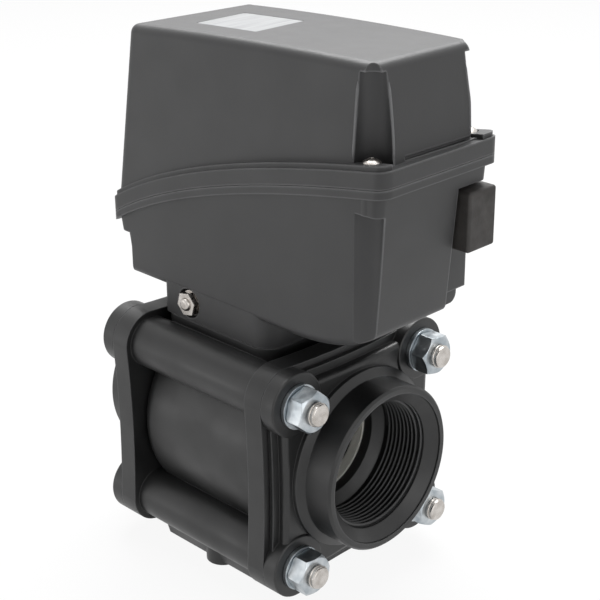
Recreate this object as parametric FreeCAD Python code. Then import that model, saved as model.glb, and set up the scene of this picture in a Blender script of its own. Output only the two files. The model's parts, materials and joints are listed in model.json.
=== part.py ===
import FreeCAD, Part
import math
import os

# Motorized two-inch ball valve: a three-piece plastic valve with a geared electric actuator on top.
# Millimetres. +X is the flow direction, +Z is up along the stem. Each function models its piece
# about the crossing of the flow axis and the stem axis; save() lifts it so the foot stands on z = 0.

V = FreeCAD.Vector

# ---- overall sizes and fits ----------------------------------------------------------------------
AXIS_HEIGHT = 62.0          # flow axis above the foot
VALVE_LENGTH = 146.6        # port face to port face
BODY_LENGTH = 97.2          # across the two body flanges
BOLT_SQUARE = 79.0          # side of the square of body bolts
RUN = 0.05                  # radial clearance of a running fit
SEAT_GAP = 0.15             # gap between fixed pieces that seat on each other
FREE = 0.3                  # gap between pieces that pass each other
FAR = 300.0                 # beyond everything, for cuts that go right through

PORT_FACE = VALVE_LENGTH / 2
BODY_FACE = BODY_LENGTH / 2
BOLT_HALF = BOLT_SQUARE / 2
CORNERS = [(sy * BOLT_HALF, sz * BOLT_HALF) for sy in (-1, 1) for sz in (-1, 1)]

# ---- ball and seats ------------------------------------------------------------------------------
BALL_R = 38.5
BALL_FLAT = 0.93            # the ball's two bore ends are cut flat at this share of its radius
BALL_BORE_R = 24.0
SEAT_BORE_R = BALL_BORE_R + 0.4
SEAT_LAND = 3.4             # radial width of the seat face that bears on the ball
SEAT_T = 8.4
SEAT_R = SEAT_BORE_R + 8.6
SEAT_FRONT = math.sqrt(BALL_R ** 2 - (SEAT_BORE_R + SEAT_LAND) ** 2)
SEAT_BACK = SEAT_FRONT + SEAT_T
RING_R = 1.6                # O-ring section radius
SEAT_RING_MEAN = (SEAT_R + SEAT_BORE_R) / 2 + 0.8
SEAT_RING_X = SEAT_BACK + 0.6 * RING_R
BODY_RING_X = BODY_FACE - 4.1

# ---- valve body ----------------------------------------------------------------------------------
FLANGE_T = 9.8
BOSS_R = 14.6               # corner radius of the flanges and radius of the bolt bosses
FLANGE_HALF = BOLT_HALF + BOSS_R
WAIST = 1.4                 # how far the flange sides draw in at mid-length
CHAMBER_R = BALL_R + 1.5
BARREL_R = CHAMBER_R + 7.5
BARREL_ROUND = 7.5
SLEEVE_R = 12.0             # tubular sleeves round the body bolts
NECK_TOP = BARREL_R + 6.5   # height of the joint face under the actuator
NECK_X = (-35.5, 32.5)
NECK_Y = 67.0
NECK_R = 10.0
CLAMP_END_R = 3.5           # tighter corners at the clamp end of the neck
JOINT_T = 10.0              # flange that carries the actuator
JOINT_IN = 2.5
THROAT_HALF = 24.0          # narrower throat under it
THROAT_CORNER_R = 8.0
FOOT_HOLES = 67.0           # distance between the two mounting inserts
FOOT_BOSS_R = 8.0
FOOT_X = 64.0
FOOT_Y = FOOT_HOLES + 11.0
FOOT_TOP = -BOLT_HALF - 4.0
FOOT_SLOPE = 5.0
FOOT_CHAMFER = 2.0
FOOT_RIM = 7.0
FOOT_RIB = 12.0
FOOT_POCKET = 9.0
FOOT_POCKET_R = 4.0
INSERT_R = 5.5
INSERT_LENGTH = 14.0
INSERT_END = 2.0
M8_CORE_R = 3.4
TONGUE_LENGTH = 8.0         # clamp tongue on the joint face, crossed by the clamp bolt
TONGUE_X = -18.2
TONGUE_WIDTH = 34.0
TONGUE_HEIGHT = 12.9
TONGUE_R = 2.0
SPIGOT_R = 17.5             # centring collar round the stem
SPIGOT_HEIGHT = 4.0

# ---- end caps ------------------------------------------------------------------------------------
LIP_HALF = BOLT_HALF + 11.3
LIP_T = 2.2
CAP_HALF = BOLT_HALF + 7.5
CAP_T = 7.4
CAP_STEP = 0.9              # the bolt bosses stand this far out of the plate
CAP_ROUND = 2.2
BOSS_FACE = BODY_FACE + CAP_T
PORT_R = 29.8               # major radius of the G 2 pipe thread
PORT_RIM_R = PORT_R + 5.0
PORT_RIM_DEPTH = 5.5
PORT_THREAD_END = SEAT_BACK + 9.0
THREAD_RUNOUT = 4.0
COLLAR_R = PORT_R + 8.4
COLLAR_BASE_R = COLLAR_R + 3.8
COLLAR_BASE_T = 2.0
THROAT_R = SEAT_BORE_R + 0.9
SPIGOT_CAP_R = CHAMBER_R - SEAT_GAP
SPIGOT_CAP_END = SEAT_FRONT + 0.4

# ---- stem ----------------------------------------------------------------------------------------
STEM_R = 9.0
STEM_SHOULDER_R = STEM_R + 3.5
STEM_SHOULDER_Z = BALL_R + 1.1
STEM_SHOULDER_T = 3.0
THRUST_T = 1.2
TANG_W = 10.0
TANG_L = 24.0
TANG_DEPTH = 7.0
STEM_SQUARE = 12.0
DRIVE_R = STEM_R - 1.0      # the square drive's corners are turned down to this
STEM_TOP = NECK_TOP + 13.0
STEM_RING_R = 1.1
STEM_RING_Z = (NECK_TOP - 7.5, NECK_TOP - 3.5)

# ---- M10 body bolts and M6 clamp bolt ------------------------------------------------------------
BOLT_R = 5.0
BOLT_HOLE_R = BOLT_R + 0.35
BOLT_OUT = 3.3              # thread that stands out of the nut
BOLT_CHAMFER = 0.8
HEAD_AF = 17.0
HEAD_T = 6.4
HEAD_CHAMFER = 1.0
HEAD_POCKET = 6.0
WASHER_R = 10.0
WASHER_T = 2.0
NUT_T = 8.4
NUT_CHAMFER = 1.2
NUT_TURN = 17.0             # each nut stands this much further round than the one before
CLAMP_R = 3.0
CLAMP_Z = NECK_TOP + 8.3
CLAMP_OUT = 3.4
CLAMP_HEAD_AF = 10.0
CLAMP_HEAD_T = 3.4
CLAMP_NUT_AF = 10.0
CLAMP_NUT_T = 3.0
CLAMP_WASHER_R = 5.8
CLAMP_WASHER_T = 1.4
CLAMP_RECESS_R = 6.9
CLAMP_RECESS = 2.8

# ---- actuator housing ----------------------------------------------------------------------------
HOUSING_X0 = -68.6          # flange rim, inlet end
HOUSING_X1 = 98.4           # flange rim, outlet end
HOUSING_Y = 71.0
HALF_Y = HOUSING_Y / 2
RIM_R = 5.5
WALL = 3.0
SPLIT_ENDS = ((-70.0, NECK_TOP + 38.2), (100.0, NECK_TOP + 88.5))    # parting line
SPLIT_POLE = (-20.0, NECK_TOP + 70.5)    # pole of its Bezier curve
SEAM = 0.2
BASE_RIM = 3.8              # flange thickness below the parting line
COVER_RIM = 7.3             # lower and upper step of the cover flange
COVER_STEP = 2.1
STEP_IN = 1.1
BASE_Z = NECK_TOP + 12.3
FLOOR = BASE_Z + WALL
BASE_HALF = HALF_Y - 2.0
BASE_X0 = (HOUSING_X0 + 7.6, 0.2)    # end walls at the underside, and their outward lean per millimetre
BASE_X1 = (HOUSING_X1 - 8.9, 0.088)
BASE_ROUND = 4.0
BASE_RISE_X = BASE_X1[0] - 42.5    # the underside starts to curve up here
BASE_RISE_RUN = 26.0
BASE_RISE_Z = BASE_Z + 10.7
BASE_CORNER_R = 4.0
COVER_TOP = NECK_TOP + 133.7
COVER_LOW = NECK_TOP + 36.0
COVER_EDGE = COVER_TOP - 7.0    # the top's edges lie above this
# arc of the top in X and Z
CROWN = ((-80.0, COVER_TOP - 7.1), (15.0, COVER_TOP - 1.3), (110.0, COVER_TOP - 0.1))
COVER_X1 = (HOUSING_X1 + 5.2, HOUSING_X1 - 11.0)    # outlet wall at COVER_LOW and at COVER_TOP
COVER_SIDE = HALF_Y - 1.5
# inlet wall at COVER_LOW, and at its two top corners
COVER_X0 = (HOUSING_X0 + 0.9, HOUSING_X0 + 15.6, HOUSING_X0 + 24.6)
COVER_PLAN_LOW = (          # corners in plan at COVER_LOW
    (COVER_X0[0], -COVER_SIDE), (COVER_X1[0], -COVER_SIDE),
    (COVER_X1[0], COVER_SIDE), (COVER_X0[0], COVER_SIDE),
)
COVER_PLAN_TOP = (          # corners in plan at COVER_TOP
    (COVER_X0[1], 3.0 - HALF_Y), (COVER_X1[1] - 0.8, 6.5 - HALF_Y),
    (COVER_X1[1] + 0.8, HALF_Y - 5.5), (COVER_X0[2], HALF_Y - 1.8),
)
COVER_CORNER_R = 4.5
COVER_ROUND = 4.2
NECK_WALL = 3.5
NECK_FLOOR = 3.2
NECK_RIBS = (12.0, 2.4)     # distance from the middle, and thickness
# cover screws at the inlet and the outlet end: X, and distance off the middle
SCREWS = ((HOUSING_X0 + 6.6, HALF_Y - 8.3), (HOUSING_X1 - 11.6, HALF_Y - 6.3))
SLOT_HALF = 4.3             # slots at the inlet end that let the cover screws down to the flange
CHANNEL_R = (8.3, 6.8)      # tapered corner channels at the outlet end: at the flange, and under the top
CHANNEL_ROOF = 3.6
SCALLOP_R = 8.6             # hollows under the flange, below the screw bosses
SCALLOP_X = 2.7
SCALLOP_Y = HALF_Y + 1.6
SCREW_R = 2.0
SCREW_BOSS_R = SCREW_R + 2.6
SCREW_BOSS = 11.0
SCREW_LENGTH = 14.0
SCREW_HEAD_R = 3.6
SCREW_HEAD_T = 2.4
SCREW_RECESS_R = 0.75
SCREW_SINK = 0.4            # the head seats this far under the flange face
PANEL_DEPTH = 1.2
PANEL_SIDE = ((21.8, 26.4), (25.4, 27.6))    # groove beside the panel: inner and outer Y, low and high
PANEL_GROOVE = 1.5
PLATE_X = (-27.5, 9.5)      # recess for the blank name plate
PLATE_Y = (-15.5, 13.0)
PLATE_T = 0.5
PLATE_GAP = 0.1
PLATE_R = 1.5
GASKET_W = 2.2
GASKET_IN = 1.2
GASKET_T = 1.4
GASKET_OUT = 0.05           # the gasket stands this far out of its groove
NOTCH_X = HOUSING_X1 - 13.9    # corner notch that holds the electrical connector
NOTCH_Y = HALF_Y - 20.7
NOTCH_STEP = 4.5            # how much further in the notch reaches under its foot
NOTCH_Z = (NECK_TOP + 26.5, NECK_TOP + 76.5)    # its foot and its roof

# ---- connector -----------------------------------------------------------------------------------
CAP_X = (NOTCH_X + 1.7, NOTCH_X + 13.7)
CAP_Y = (NOTCH_Y + 2.7, HALF_Y - 0.5)
CAP_Z = (NECK_TOP + 48.5, NECK_TOP + 74.5)
CAP_EDGE = 1.4
SOCKET_Y = (CAP_Y[0] + 2.1, CAP_Y[1] - 5.4)
SOCKET_Z = (CAP_Z[0] + 2.1, CAP_Z[1] - 2.1)
SOCKET_LENGTH = 10.0
SOCKET_WALL = 1.2
SOCKET_FLANGE = 1.5
PIN_R = 0.8
PIN_PITCH = 6.0
PIN_LENGTH = 5.0
PIN_TAIL = 5.0

# ---- gear train ----------------------------------------------------------------------------------
PRESSURE = math.radians(25.0)
BACKLASH = 0.12
CENTRE_SLACK = 0.05
# each stage: module, wheel teeth, pinion teeth, wheel height range, pinion height range
STAGES = (
    (1.0, 54, 12, (FLOOR + 4.7, FLOOR + 13.7), (FLOOR + 4.3, FLOOR + 15.7)),
    (0.8, 45, 12, (FLOOR + 15.7, FLOOR + 20.7), (FLOOR + 15.3, FLOOR + 21.7)),
    (0.6, 40, 12, (FLOOR + 21.7, FLOOR + 25.7), (FLOOR + 21.3, FLOOR + 26.3)),
)
AXLES = [0.0]               # X of the output shaft, of the two axles and of the motor
for stage_module, wheel_teeth, pinion_teeth, _, _ in STAGES:
    AXLES.append(AXLES[-1] + stage_module * (wheel_teeth + pinion_teeth) / 2 + CENTRE_SLACK)
SHAFT_R = 10.0              # output shaft: lower journal, gear seat, top journal
SHAFT_SEAT_R = SHAFT_R - 2.0
SHAFT_TOP_R = SHAFT_R - 4.0
SHAFT_LOW = NECK_TOP + 5.5
BUSH_R = SHAFT_R + 3.0
BUSH_FLANGE_R = BUSH_R + 2.5
BUSH_FLANGE_T = 1.5
NECK_BOSS_R = BUSH_R + 4.5
AXLE_R = 2.0
AXLE_DEPTH = 4.5            # how deep the axles sit in their bosses
AXLE_WALL = 2.0
WHEEL_RIM = 3.2             # rim of a wheel below its pitch circle, in modules
WHEEL_WEB = 0.5             # share of a wheel's thickness left between rim and hub
HUB_WALL = 3.0
PLATE_Z = FLOOR + 27.7
GEAR_PLATE_T = 2.0
PLATE_TOP = PLATE_Z + GEAR_PLATE_T
GEAR_PLATE_X = (-35.0, AXLES[3] + 9.45)
GEAR_PLATE_Y = 58.0
GEAR_PLATE_R = 5.0
POST_R = 3.2
POST_WALL = 1.6
POST_SOCKET = 4.0
POST_PAIRS = ((GEAR_PLATE_X[0] + 5, 25.0), (GEAR_PLATE_X[1] - 6, 24.0))
POSTS = [(x, side * y) for x, y in POST_PAIRS for side in (1, -1)]
POST_SCREW_R = 1.5
POST_SCREW_DEPTH = 8.0
POST_SCREW_HEAD_R = 2.8
POST_SCREW_HEAD_T = 2.0
MOTOR_R = 15.0
MOTOR_LENGTH = 52.0
MOTOR_SHAFT_R = 1.0
MOTOR_PILOT_R = 3.5
MOTOR_PILOT = 1.5
MAGNET_R = SHAFT_TOP_R + 2.0
MAGNET_T = 4.0

# ---- circuit board -------------------------------------------------------------------------------
BOARD_Z = PLATE_Z + 12.0
BOARD_T = 1.6
BOARD_X = (-46.0, 48.0)
BOARD_Y = 50.0
BOARD_R = 2.0
BOARD_POSTS = [(x, side * y) for x, y in ((-30.0, 16.0), (38.0, 20.0)) for side in (1, -1)]
BOARD_POST_R = 2.5
RELAY_X = (-26.0, -6.0)
RELAY = (15.0, 18.0, 12.0)
TERMINALS = 4
TERMINAL_PITCH = 4.4
TERMINAL_BLOCK = (20.0, 8.0, 10.0)
SENSOR = (6.0, 5.0, 1.8)


# ---- helpers -------------------------------------------------------------------------------------
def save(shape, name):
    """Write one piece as a STEP file, lifted so that the foot stands on z = 0."""
    lifted = shape.copy()
    lifted.translate(V(0, 0, AXIS_HEIGHT))
    lifted.exportStep("parts/%s.step" % name)


def box(x, y, z):
    return Part.makeBox(x[1] - x[0], y[1] - y[0], z[1] - z[0], V(x[0], y[0], z[0]))


def grown(span, by):
    return span[0] - by, span[1] + by


def rod_x(radius, x0, x1, y=0.0, z=0.0):
    return Part.makeCylinder(radius, x1 - x0, V(x0, y, z), V(1, 0, 0))


def rod_y(radius, y0, y1, x, z):
    return Part.makeCylinder(radius, y1 - y0, V(x, y0, z), V(0, 1, 0))


def rod_z(radius, z0, z1, x=0.0, y=0.0):
    return Part.makeCylinder(radius, z1 - z0, V(x, y, z0), V(0, 0, 1))


def face(points):
    """Face inside a closed outline; an entry is a corner, or (through, end) for an arc."""
    edges = []
    start = points[0]
    for entry in points[1:] + points[:1]:
        is_arc = isinstance(entry, tuple)
        end = entry[1] if is_arc else entry
        if is_arc:
            edges.append(Part.Arc(start, entry[0], end).toShape())
        elif not start.isEqual(end, 1e-7):
            edges.append(Part.makeLine(start, end))
        start = end
    return Part.Face(Part.Wire(edges))


def prism(points, direction):
    return face(points).extrude(direction)


def turned_x(profile):
    """Body of revolution about the flow axis from (distance along X, radius) points."""
    wire = Part.makePolygon([V(x, 0, r) for x, r in profile + profile[:1]])
    return Part.Face(wire).revolve(V(0, 0, 0), V(1, 0, 0), 360)


def turned_z(profile, x=0.0):
    """Body of revolution about a vertical axis from (radius, height) points."""
    wire = Part.makePolygon([V(x + r, 0, z) for r, z in profile + profile[:1]])
    return Part.Face(wire).revolve(V(x, 0, 0), V(0, 0, 1), 360)


def rounded_outline(x, y, radius, z):
    """Closed wire: a rectangle in plan with rounded corners."""
    (x0, x1), (y0, y1) = x, y
    k = radius * (1 - math.sqrt(0.5))
    corners = [(x1, y1, -1, -1), (x0, y1, 1, -1), (x0, y0, 1, 1), (x1, y0, -1, 1)]
    edges = []
    previous = V(x1, y0 + radius, z)
    for index, (cx, cy, sx, sy) in enumerate(corners):
        along_y = index % 2 == 0
        first = V(cx, cy + sy * radius, z) if along_y else V(cx + sx * radius, cy, z)
        last = V(cx + sx * radius, cy, z) if along_y else V(cx, cy + sy * radius, z)
        edges.append(Part.makeLine(previous, first))
        edges.append(Part.Arc(first, V(cx + sx * k, cy + sy * k, z), last).toShape())
        previous = last
    return Part.Wire(edges)


def rounded_block(x, y, z, radius):
    return Part.Face(rounded_outline(x, y, radius, z[0])).extrude(V(0, 0, z[1] - z[0]))


def fused(shapes):
    return shapes[0].multiFuse(shapes[1:]).removeSplitter()


def rounded_edges(shape, radius, picked):
    return shape.makeFillet(radius, [edge for edge in shape.Edges if picked(edge.BoundBox)])


def hexagon_x(across_flats, x0, x1, y, z):
    """Hexagonal prism along X with a flat on top."""
    corner = across_flats / math.sqrt(3)
    ring = [math.radians(60 * k + 30) for k in range(6)]
    points = [V(x0, y + corner * math.sin(a), z + corner * math.cos(a)) for a in ring]
    return prism(points, V(x1 - x0, 0, 0))


def placed(shape, places):
    """Copies of a piece modelled on the X axis, moved to each (y, z)."""
    copies = []
    for y, z in places:
        copy = shape.copy()
        copy.translate(V(0, y, z))
        copies.append(copy)
    return Part.makeCompound(copies)


def hexagon_y(across_flats, y0, y1, x, z, turn=0.0):
    """Hexagonal prism along Y with a corner towards +X, turned by an angle in degrees."""
    corner = across_flats / math.sqrt(3)
    ring = [math.radians(60 * k + turn) for k in range(6)]
    points = [V(x + corner * math.cos(a), y0, z + corner * math.sin(a)) for a in ring]
    return prism(points, V(0, y1 - y0, 0))


def quarter_turned(shape, steps):
    turned = shape.copy()
    turned.rotate(V(0, 0, 0), V(1, 0, 0), 90 * steps)
    return turned


# ---- valve body ----------------------------------------------------------------------------------
def waisted_plate(x0, x1, half, radius, waist):
    """Square plate with round corners whose four sides draw in slightly at mid-length."""
    straight = half - radius
    k = straight + radius * math.sqrt(0.5)
    side = [
        (V(x0, half - waist, 0), V(x0, half, straight)),
        (V(x0, k, k), V(x0, straight, half)),
    ]
    points = [V(x0, half, -straight)]
    for step in range(4):
        turn = FreeCAD.Rotation(V(1, 0, 0), 90 * step)
        points += [tuple(turn.multVec(p) for p in arc) for arc in side]
    return prism(points, V(x1 - x0, 0, 0))


def neck_block(x, inset, z):
    """Block in the plan of the neck, with tighter corners at the clamp end."""
    (x0, x1), y = grown(x, -inset), grown((-NECK_Y / 2, NECK_Y / 2), -inset)
    clamp_end = rounded_block((x0, 0), y, z, CLAMP_END_R - inset / 2)
    return clamp_end.fuse(rounded_block((x0 + NECK_R, x1), y, z, NECK_R - inset))


def barrel():
    """Round middle of the body with rounded ends that meet the flanges."""
    inner = BODY_FACE - FLANGE_T + 1.0
    low = BARREL_R - BARREL_ROUND
    k = BARREL_ROUND * math.sqrt(0.5)
    edge = inner - BARREL_ROUND
    points = [
        V(-inner, 0, 0), V(-inner, 0, low),
        (V(-edge - k, 0, low + k), V(-edge, 0, BARREL_R)),
        V(edge, 0, BARREL_R),
        (V(edge + k, 0, low + k), V(inner, 0, low)),
        V(inner, 0, 0),
    ]
    return face(points).revolve(V(0, 0, 0), V(1, 0, 0), 360)


def foot():
    """Mounting foot between the lower sleeves: sloping sides, two pockets underneath, two bosses."""
    x, half, low = -FOOT_X / 2, FOOT_Y / 2, -AXIS_HEIGHT
    side = [(half + FOOT_SLOPE, FOOT_TOP), (half, low + FOOT_CHAMFER), (half - FOOT_CHAMFER, low)]
    outline = [V(x, -y, z) for y, z in side] + [V(x, y, z) for y, z in side[::-1]]
    pad = prism(outline, V(FOOT_X, 0, 0))
    bosses = [rod_z(FOOT_BOSS_R, low, FOOT_TOP, 0, sy * FOOT_HOLES / 2) for sy in (-1, 1)]
    long_side, deep = (-half + FOOT_RIM, half - FOOT_RIM), (low, low + FOOT_POCKET)
    spans = [(FOOT_RIB / 2, -x - FOOT_RIM), (x + FOOT_RIM, -FOOT_RIB / 2)]
    pockets = Part.makeCompound([rounded_block(span, long_side, deep, FOOT_POCKET_R) for span in spans])
    return fused([pad.cut(pockets)] + bosses)


def valve_body():
    inner = BODY_FACE - FLANGE_T
    plates = [waisted_plate(x, x + FLANGE_T, FLANGE_HALF, BOSS_R, WAIST) for x in (-BODY_FACE, inner)]
    sleeves = [rod_x(SLEEVE_R, -BODY_FACE + 1, BODY_FACE - 1, y, z) for y, z in CORNERS]
    pad = neck_block((NECK_X[0] + JOINT_IN, NECK_X[1]), 0, (NECK_TOP - JOINT_T, NECK_TOP))
    throat = (-THROAT_HALF, THROAT_HALF)
    pad = pad.fuse(rounded_block(throat, throat, (0, NECK_TOP - 1), THROAT_CORNER_R))
    collar = rod_z(SPIGOT_R, NECK_TOP - 1, NECK_TOP + SPIGOT_HEIGHT)
    tongue = rounded_block(
        (TONGUE_X - TONGUE_LENGTH / 2, TONGUE_X + TONGUE_LENGTH / 2),
        (-TONGUE_WIDTH / 2, TONGUE_WIDTH / 2), (NECK_TOP - 1, NECK_TOP + TONGUE_HEIGHT), TONGUE_R)
    body = fused([barrel()] + plates + sleeves + [pad, collar, tongue, foot()])
    holes = [rod_x(BOLT_HOLE_R, -BODY_FACE, BODY_FACE, y, z) for y, z in CORNERS]
    holes.append(rod_x(CHAMBER_R, -BODY_FACE, BODY_FACE))
    holes.append(rod_z(STEM_R + RUN, 0, STEM_TOP))
    shoulder_top = STEM_SHOULDER_Z + STEM_SHOULDER_T + THRUST_T + FREE
    holes.append(rod_z(STEM_SHOULDER_R + FREE, 0, shoulder_top))
    holes.append(rod_y(CLAMP_R + FREE, -TONGUE_WIDTH, TONGUE_WIDTH, TONGUE_X, CLAMP_Z))
    top = -AXIS_HEIGHT + INSERT_LENGTH + SEAT_GAP
    for sy in (-1, 1):
        holes.append(rod_z(INSERT_R + SEAT_GAP, -AXIS_HEIGHT, top, 0, sy * FOOT_HOLES / 2))
    return body.cut(Part.makeCompound(holes))


def mounting_inserts():
    """Brass M8 inserts, open downwards and flush with the foot."""
    inserts = []
    low, high = -AXIS_HEIGHT, -AXIS_HEIGHT + INSERT_LENGTH
    for sy in (-1, 1):
        y = sy * FOOT_HOLES / 2
        thread = rod_z(M8_CORE_R, low, high - INSERT_END, 0, y)
        inserts.append(rod_z(INSERT_R, low, high, 0, y).cut(thread))
    return Part.makeCompound(inserts)


# ---- end caps ------------------------------------------------------------------------------------
def cap_plate():
    """Stepped square plate with a boss at each bolt."""
    lip = waisted_plate(BODY_FACE + SEAT_GAP, BODY_FACE + LIP_T, LIP_HALF, BOSS_R - 3, WAIST)
    plate = waisted_plate(BODY_FACE + SEAT_GAP, BOSS_FACE - CAP_STEP, CAP_HALF, BOSS_R - 6, WAIST)
    plate = rounded_edges(plate, CAP_ROUND, lambda b: b.XMin > BOSS_FACE - CAP_STEP - 0.01)
    boss = rod_x(BOSS_R, BODY_FACE + SEAT_GAP, BOSS_FACE, BOLT_HALF, BOLT_HALF)
    boss = rounded_edges(boss, 0.8, lambda b: b.XMin > BOSS_FACE - 0.01)
    return [lip, plate] + [quarter_turned(boss, step) for step in range(4)]


def end_cap():
    """Outlet cap: spigot into the body, bolted plate and threaded collar."""
    base = BOSS_FACE - CAP_STEP
    outside = turned_x([
        (SPIGOT_CAP_END, 0), (SPIGOT_CAP_END, SPIGOT_CAP_R), (base, SPIGOT_CAP_R), (base, COLLAR_BASE_R),
        (base + COLLAR_BASE_T, COLLAR_BASE_R), (base + COLLAR_BASE_T + 2, COLLAR_R),
        (PORT_FACE - 1, COLLAR_R), (PORT_FACE, COLLAR_R - 1), (PORT_FACE, 0),
    ])
    inside = turned_x([
        (SPIGOT_CAP_END - 1, 0), (SPIGOT_CAP_END - 1, SEAT_R + SEAT_GAP),
        (SEAT_BACK + SEAT_GAP, SEAT_R + SEAT_GAP), (SEAT_BACK + SEAT_GAP, THROAT_R),
        (PORT_THREAD_END - THREAD_RUNOUT, THROAT_R), (PORT_THREAD_END, PORT_R),
        (PORT_FACE - PORT_RIM_DEPTH, PORT_R), (PORT_FACE - 1, PORT_RIM_R), (PORT_FACE + 1, PORT_RIM_R),
        (PORT_FACE + 1, 0),
    ])
    body_groove = groove_x(SPIGOT_CAP_R - RING_R, BODY_RING_X)
    holes = [rod_x(BOLT_HOLE_R, BODY_FACE, BOSS_FACE, y, z) for y, z in CORNERS]
    cap = fused(cap_plate() + [outside])
    return cap.cut(Part.makeCompound([inside, body_groove] + holes)).cut(seat_groove())


def inlet_cap():
    """The same cap turned to the other end, with hexagonal pockets that hold the bolt heads."""
    cap = end_cap().mirror(V(0, 0, 0), V(1, 0, 0))
    pockets = [
        hexagon_x(HEAD_AF + 0.4, -BOSS_FACE - 1, -BOSS_FACE + HEAD_POCKET, y, z) for y, z in CORNERS
    ]
    return cap.cut(Part.makeCompound(pockets))


def ring_x(mean_radius, x):
    return Part.makeTorus(mean_radius, RING_R, V(x, 0, 0), V(1, 0, 0))


def groove_x(mean_radius, x):
    """Square groove round an O-ring."""
    half = RING_R + SEAT_GAP
    low, high = mean_radius - half, mean_radius + half
    return turned_x([(x - half, low), (x - half, high), (x + half, high), (x + half, low)])


def seat_groove():
    return groove_x(SEAT_RING_MEAN, SEAT_RING_X)


def seat_ring():
    """Ball seat with a spherical face and a back that bears on its O-ring."""
    blank = turned_x([
        (SEAT_FRONT, SEAT_BORE_R), (SEAT_FRONT, SEAT_R), (SEAT_BACK, SEAT_R), (SEAT_BACK, SEAT_BORE_R),
    ])
    return blank.cut(Part.makeSphere(BALL_R + FREE)).cut(seat_groove())


def seat_o_ring():
    return ring_x(SEAT_RING_MEAN, SEAT_RING_X)


def body_o_ring():
    return ring_x(SPIGOT_CAP_R + SEAT_GAP / 2 - RING_R, BODY_RING_X)


# ---- ball and stem -------------------------------------------------------------------------------
def ball():
    sphere = Part.makeSphere(BALL_R)
    flats = BALL_R * BALL_FLAT
    sphere = sphere.common(box((-flats, flats), (-BALL_R, BALL_R), (-BALL_R, BALL_R)))
    slot = box((-TANG_L / 2 - FREE, TANG_L / 2 + FREE), (-TANG_W / 2 - RUN, TANG_W / 2 + RUN),
               (BALL_R - TANG_DEPTH, BALL_R + 1))
    return sphere.cut(rod_x(BALL_BORE_R, -BALL_R, BALL_R)).cut(slot)


def stem():
    """Stem: tang in the ball's slot, blow-out shoulder, two O-ring grooves and a square drive."""
    shoulder_top = STEM_SHOULDER_Z + STEM_SHOULDER_T
    shaft = rod_z(STEM_R, STEM_SHOULDER_Z, NECK_TOP + SPIGOT_HEIGHT)
    shoulder = rod_z(STEM_SHOULDER_R, STEM_SHOULDER_Z, shoulder_top)
    tang = box((-TANG_L / 2, TANG_L / 2), (-TANG_W / 2, TANG_W / 2),
               (BALL_R - TANG_DEPTH + FREE, STEM_SHOULDER_Z + 1))
    tang = tang.common(rod_z(STEM_SHOULDER_R, 0, STEM_TOP))
    half = STEM_SQUARE / 2
    drive = box((-half, half), (-half, half), (NECK_TOP, STEM_TOP))
    drive = drive.common(rod_z(DRIVE_R, NECK_TOP, STEM_TOP))
    body = fused([shaft, shoulder, tang, drive])
    half = STEM_RING_R + SEAT_GAP
    for z in STEM_RING_Z:
        floor = rod_z(STEM_R - 2 * STEM_RING_R, z - half, z + half)
        body = body.cut(rod_z(STEM_R + 1, z - half, z + half).cut(floor))
    return body


def stem_o_ring(z):
    return Part.makeTorus(STEM_R - STEM_RING_R, STEM_RING_R, V(0, 0, z), V(0, 0, 1))


def thrust_washer():
    low = STEM_SHOULDER_Z + STEM_SHOULDER_T + SEAT_GAP
    return rod_z(STEM_SHOULDER_R, low, low + THRUST_T).cut(rod_z(STEM_R + RUN, low, low + THRUST_T))


# ---- bolts ---------------------------------------------------------------------------------------
def body_bolts():
    """M10 hexagon bolts, heads held in the inlet cap's pockets."""
    seat = -BOSS_FACE + HEAD_POCKET
    low, tip = seat - HEAD_T, nut_face() + NUT_T + BOLT_OUT
    corner = HEAD_AF / math.sqrt(3) + HEAD_CHAMFER
    crown = turned_x([
        (low, 0), (low, HEAD_AF / 2), (low + HEAD_CHAMFER, corner), (seat, corner), (seat, 0),
    ])
    shank = rod_x(BOLT_R, seat - 1, tip)
    shank = rounded_edges(shank, BOLT_CHAMFER, lambda b: b.XMin > tip - 0.01)
    bolt = hexagon_x(HEAD_AF, low, seat, 0, 0).common(crown).fuse(shank).removeSplitter()
    return placed(bolt, CORNERS)


def body_washers():
    low = BOSS_FACE + SEAT_GAP
    disc = rod_x(WASHER_R, low, low + WASHER_T)
    return placed(disc.cut(rod_x(BOLT_R + RUN, low, low + WASHER_T)), CORNERS)


def nut_face():
    return BOSS_FACE + 2 * SEAT_GAP + WASHER_T


def body_nuts():
    """Chamfered hexagon nuts, each turned a little differently on its bolt."""
    low, high = nut_face(), nut_face() + NUT_T
    corner = HEAD_AF / math.sqrt(3)
    cone = turned_x([
        (low, 0), (low, corner - 0.8), (low + 0.8, corner), (high - NUT_CHAMFER, corner),
        (high, corner - 1.25 * NUT_CHAMFER), (high, 0),
    ])
    blank = hexagon_x(HEAD_AF, low, high, 0, 0).common(cone).cut(rod_x(BOLT_R + RUN, low, high))
    nuts = []
    for index, (y, z) in enumerate(CORNERS):
        nut = blank.copy()
        nut.rotate(V(0, 0, 0), V(1, 0, 0), NUT_TURN * index)
        nut.translate(V(0, y, z))
        nuts.append(nut)
    return Part.makeCompound(nuts)


def clamp_bolt():
    """M6 bolt across the neck; its nut end shows on the -Y side."""
    seat = NECK_Y / 2 - CLAMP_RECESS
    end = -NECK_Y / 2 - CLAMP_OUT
    shank = rod_y(CLAMP_R, end, seat, TONGUE_X, CLAMP_Z)
    shank = rounded_edges(shank, CLAMP_R / 2, lambda b: b.YMax < end + 0.01)
    head = hexagon_y(CLAMP_HEAD_AF, seat, seat + CLAMP_HEAD_T, TONGUE_X, CLAMP_Z)
    return head.fuse(shank).removeSplitter()


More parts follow.
